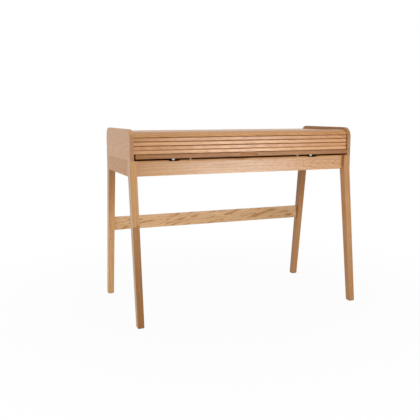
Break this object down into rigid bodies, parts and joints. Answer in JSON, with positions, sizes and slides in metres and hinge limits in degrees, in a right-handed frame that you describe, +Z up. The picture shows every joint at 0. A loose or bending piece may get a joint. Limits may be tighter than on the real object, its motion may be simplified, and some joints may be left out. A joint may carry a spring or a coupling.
{
  "type": "roll top desk",
  "caption": "Slim oak writing desk with splayed legs, a slatted tambour front that rolls up under a fixed top and a worktop that pulls out on ball slides.",
  "frame": {"origin": "on the floor, under the middle of the bounding box", "axes": "+X to the right seen from the front, -Y to the front, +Z up"},
  "size_m": [1.1, 0.5952, 0.845],
  "materials": {
    "oak": "oiled, satin",
    "slat_oak": "oiled, satin",
    "worktop_oak": "oiled, darker",
    "inner_oak": "oiled, matte",
    "beech": "planed, raw",
    "canvas": "woven cotton",
    "zinc_steel": "zinc plated",
    "screw_steel": "zinc plated",
    "nylon": "moulded",
    "glide_plastic": "moulded, dark"
  },
  "bodies": {
    "desk": {"back_panel": "inner_oak", "back_screws": "screw_steel", "block_screws": "screw_steel", "board_screws": "screw_steel", "channel_screws": "screw_steel", "corner_blocks": "beech", "dust_board": "beech", "front_apron": "oak", "glide_buttons": "nylon", "left_bearer": "beech", "left_divider": "inner_oak", "left_front_leg": "oak", "left_rear_leg": "oak", "left_side_apron": "oak", "left_side_panel": "oak", "left_slide_channel": "zinc_steel", "leg_glides": "glide_plastic", "panel_dowels": "beech", "pigeonhole_shelf": "inner_oak", "rear_apron": "oak", "right_bearer": "beech", "right_divider": "inner_oak", "right_front_leg": "oak", "right_rear_leg": "oak", "right_side_apron": "oak", "right_side_panel": "oak", "right_slide_channel": "zinc_steel", "stretcher": "oak", "top_nosing": "oak", "top_panel": "oak"},
    "worktop": {"left_slide_runner": "zinc_steel", "right_slide_runner": "zinc_steel", "runner_screws": "screw_steel", "worktop_board": "worktop_oak", "worktop_front_edge": "worktop_oak"},
    "ball_cages": {"left_ball_cage": "zinc_steel", "right_ball_cage": "zinc_steel"},
    "tambour": {"tambour_canvas": "canvas", "tambour_pins": "nylon", "tambour_slat_1": "slat_oak", "tambour_slat_2": "slat_oak", "tambour_slat_3": "slat_oak", "tambour_slat_4": "slat_oak"}
  },
  "joints": [
    {"name": "worktop_slide", "type": "slide", "parent": "desk", "child": "worktop", "axis": [0, -1, 0], "range_m": [0, 0.18]},
    {"name": "cage_slide", "type": "slide", "parent": "desk", "child": "ball_cages", "axis": [0, -1, 0], "range_m": [0, 0.09]},
    {"name": "tambour_roll", "type": "hinge", "parent": "desk", "child": "tambour", "pos_m": [0, -0.16795, 0.77045], "axis": [-1, 0, 0], "range_deg": [0, 90], "deforming": ["tambour_canvas", "tambour_pins", "tambour_slat_1", "tambour_slat_2", "tambour_slat_3", "tambour_slat_4"]}
  ],
  "couplings": [
    {"joint": "cage_slide", "follows": "worktop_slide", "ratio": 0.5}
  ]
}
